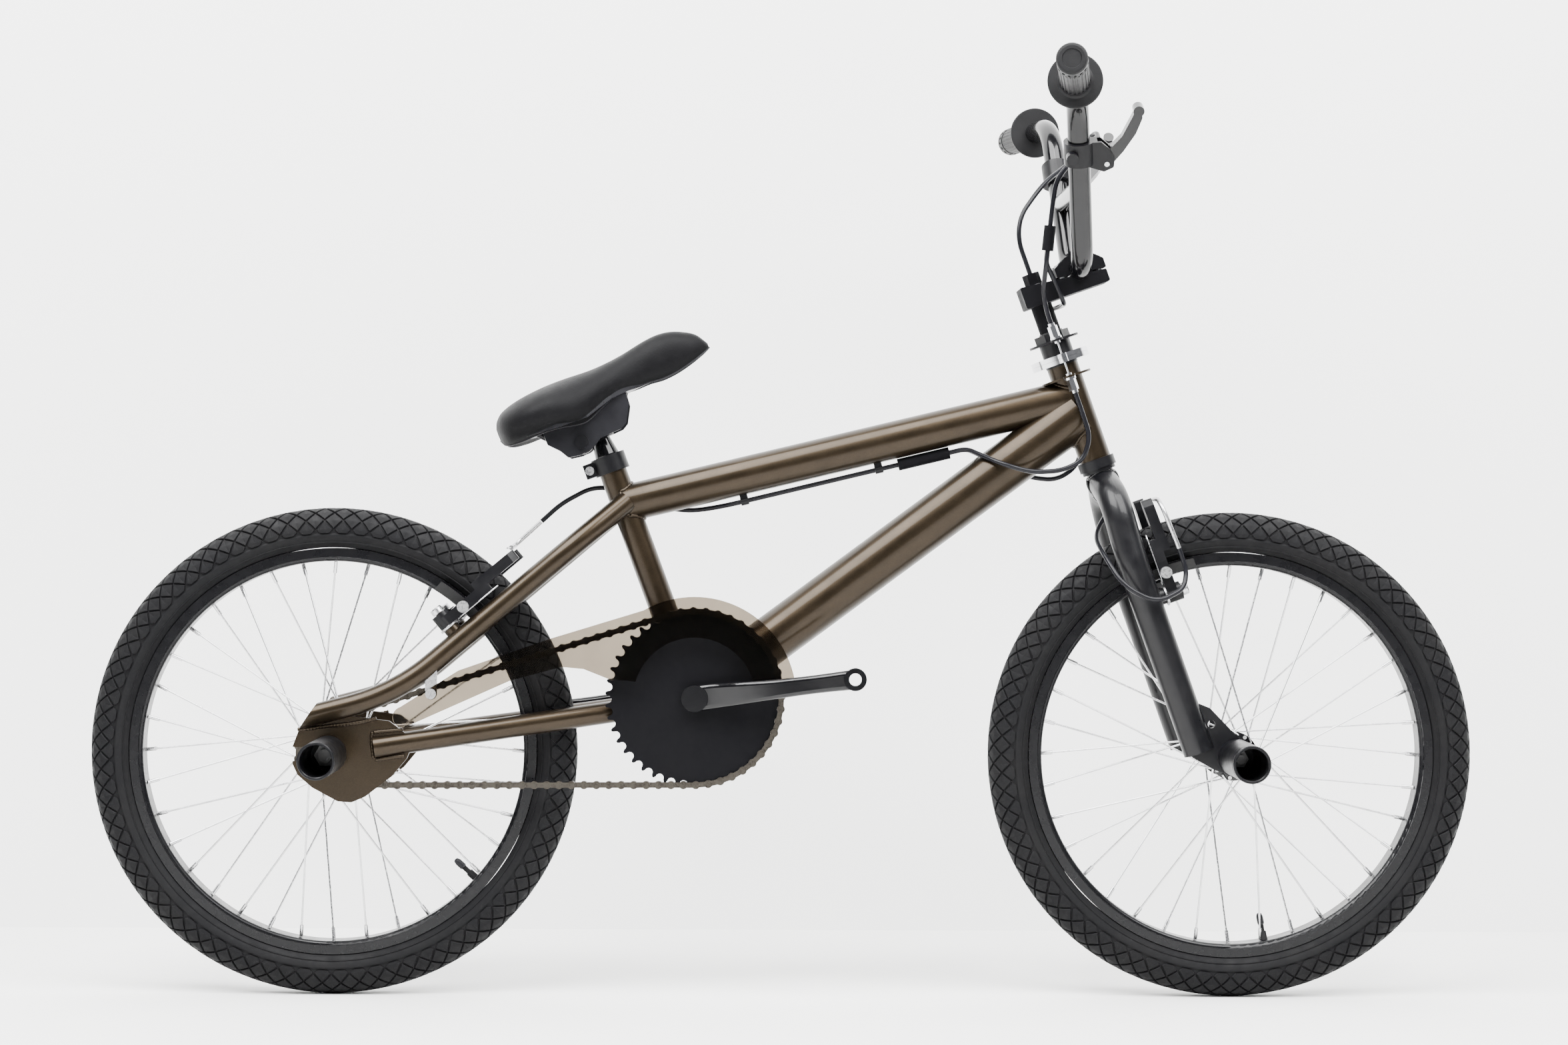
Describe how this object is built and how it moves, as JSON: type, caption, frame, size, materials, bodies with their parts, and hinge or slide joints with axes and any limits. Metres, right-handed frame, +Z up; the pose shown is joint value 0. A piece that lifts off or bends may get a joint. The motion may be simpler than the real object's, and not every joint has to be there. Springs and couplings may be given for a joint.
{
  "type": "bmx bike",
  "caption": "Freestyle BMX bicycle with a tubular frame, cable detangler, V-brakes, pegs, one-piece crank, chain guard and no pedals.",
  "frame": {"origin": "on the ground midway between the two axles, in the bike's centre plane", "axes": "+X forward towards the front wheel, +Y to the rider's left, +Z up"},
  "size_m": [1.4288, 0.694, 0.9479],
  "materials": {
    "frame_paint": "satin metallic",
    "gloss_black": "gloss",
    "satin_black": "satin",
    "steel": "satin",
    "chrome": "polished",
    "housing": "gloss",
    "smoked_plastic": "gloss",
    "dark_plastic": "matte",
    "saddle_cover": "satin",
    "grip_rubber": "matte",
    "tyre": "matte"
  },
  "bodies": {
    "frame": {"head_tube": "frame_paint", "top_tube": "frame_paint", "down_tube": "frame_paint", "seat_tube": "frame_paint", "bottom_bracket_shell": "frame_paint", "seat_stays": "frame_paint", "chain_stays": "frame_paint", "rear_dropouts": "frame_paint", "bearing_cups": "satin_black", "seat_clamp": "satin_black", "frame_bolts": "steel", "rear_axle": "steel", "rear_pegs": "gloss_black", "chain_guard": "smoked_plastic", "gyro_lower_plate": "frame_paint", "gyro_lower_adjusters": "chrome", "gyro_lower_cables": "housing", "cable_splitter": "housing", "rear_brake_cable": "housing", "cable_clips": "housing", "chain": "steel"},
    "saddle": {"seat_post": "satin_black", "saddle_clamp": "satin_black", "saddle_rails": "satin_black", "saddle_base": "dark_plastic", "saddle_pad": "saddle_cover"},
    "steering": {"fork_steerer": "gloss_black", "fork_legs": "gloss_black", "headset_races": "steel", "stem": "satin_black", "stem_cap": "satin_black", "stem_bolts": "steel", "handlebar": "gloss_black", "grips": "grip_rubber", "gyro_upper_plate": "satin_black", "gyro_upper_adjusters": "chrome", "gyro_upper_cables": "housing", "front_brake_cable": "housing", "front_axle": "steel", "front_pegs": "gloss_black", "lever_brackets": "satin_black"},
    "lever_left": {"brake_lever_left": "satin_black"},
    "lever_right": {"brake_lever_right": "satin_black"},
    "front_arm_left": {"front_brake_arm_left": "satin_black"},
    "front_arm_right": {"front_brake_arm_right": "satin_black"},
    "rear_arm_left": {"rear_brake_arm_left": "satin_black"},
    "rear_arm_right": {"rear_brake_arm_right": "satin_black"},
    "rotor_upper": {"gyro_rotor_upper": "chrome"},
    "rotor_lower": {"gyro_rotor_lower": "chrome"},
    "front_wheel": {"front_hub": "satin_black", "front_spokes": "steel", "front_rim": "satin_black", "front_tyre": "tyre"},
    "rear_wheel": {"rear_hub": "satin_black", "rear_spokes": "steel", "rear_rim": "satin_black", "rear_tyre": "tyre"},
    "crankset": {"crank": "gloss_black", "chainring": "gloss_black"},
    "freewheel": {"freewheel": "steel"}
  },
  "joints": [
    {"name": "seat_height", "type": "slide", "parent": "frame", "child": "saddle", "axis": [-0.3486, 0, 0.9373], "range_m": [0, 0.05]},
    {"name": "steering", "type": "hinge", "parent": "frame", "child": "steering", "pos_m": [0.43583, 0, 0.24109], "axis": [-0.3371, 0, 0.9415], "continuous": true},
    {"name": "front_wheel_spin", "type": "hinge", "parent": "steering", "child": "front_wheel", "pos_m": [0.4635, 0, 0.251], "axis": [0, 1, 0], "continuous": true},
    {"name": "rear_wheel_spin", "type": "hinge", "parent": "frame", "child": "rear_wheel", "pos_m": [-0.4635, 0, 0.251], "axis": [0, 1, 0], "continuous": true},
    {"name": "crank_spin", "type": "hinge", "parent": "frame", "child": "crankset", "pos_m": [-0.09124, 0, 0.309], "axis": [0, 1, 0], "continuous": true, "deforming": ["chain"]},
    {"name": "freewheel_spin", "type": "hinge", "parent": "frame", "child": "freewheel", "pos_m": [-0.4635, 0, 0.251], "axis": [0, 1, 0], "continuous": true},
    {"name": "lever_left_squeeze", "type": "hinge", "parent": "steering", "child": "lever_left", "pos_m": [0.32054, 0.10931, 0.85447], "axis": [0, -0.8835, 0.4684], "range_deg": [0, 18]},
    {"name": "lever_right_squeeze", "type": "hinge", "parent": "steering", "child": "lever_right", "pos_m": [0.32054, -0.10931, 0.85447], "axis": [0, -0.8835, -0.4684], "range_deg": [0, 18]},
    {"name": "front_arm_right_close", "type": "hinge", "parent": "steering", "child": "front_arm_right", "pos_m": [0.39471, -0.043, 0.4179], "axis": [-0.9415, 0, -0.3371], "range_deg": [0, 3]},
    {"name": "front_arm_left_close", "type": "hinge", "parent": "steering", "child": "front_arm_left", "pos_m": [0.39471, 0.043, 0.4179], "axis": [0.9415, 0, 0.3371], "range_deg": [0, 3]},
    {"name": "rear_arm_left_close", "type": "hinge", "parent": "frame", "child": "rear_arm_left", "pos_m": [-0.34406, 0.043, 0.3838], "axis": [0.6463, 0, -0.763], "range_deg": [0, 3]},
    {"name": "rear_arm_right_close", "type": "hinge", "parent": "frame", "child": "rear_arm_right", "pos_m": [-0.34406, -0.043, 0.3838], "axis": [-0.6463, 0, 0.763], "range_deg": [0, 3]},
    {"name": "rotor_upper_lift", "type": "slide", "parent": "steering", "child": "rotor_upper", "axis": [-0.3371, 0, 0.9415], "range_m": [0, 0.006]},
    {"name": "rotor_lower_lift", "type": "slide", "parent": "frame", "child": "rotor_lower", "axis": [-0.3371, 0, 0.9415], "range_m": [0, 0.006]}
  ],
  "couplings": [
    {"joint": "freewheel_spin", "follows": "crank_spin", "ratio": 2.75},
    {"joint": "front_arm_right_close", "follows": "lever_left_squeeze", "ratio": 0.16667},
    {"joint": "front_arm_left_close", "follows": "lever_left_squeeze", "ratio": 0.16667},
    {"joint": "rear_arm_right_close", "follows": "lever_right_squeeze", "ratio": 0.16667},
    {"joint": "rear_arm_left_close", "follows": "lever_right_squeeze", "ratio": 0.16667},
    {"joint": "rotor_upper_lift", "follows": "lever_right_squeeze", "m_per_rad": 0.0191},
    {"joint": "rotor_lower_lift", "follows": "lever_right_squeeze", "m_per_rad": 0.0191}
  ]
}
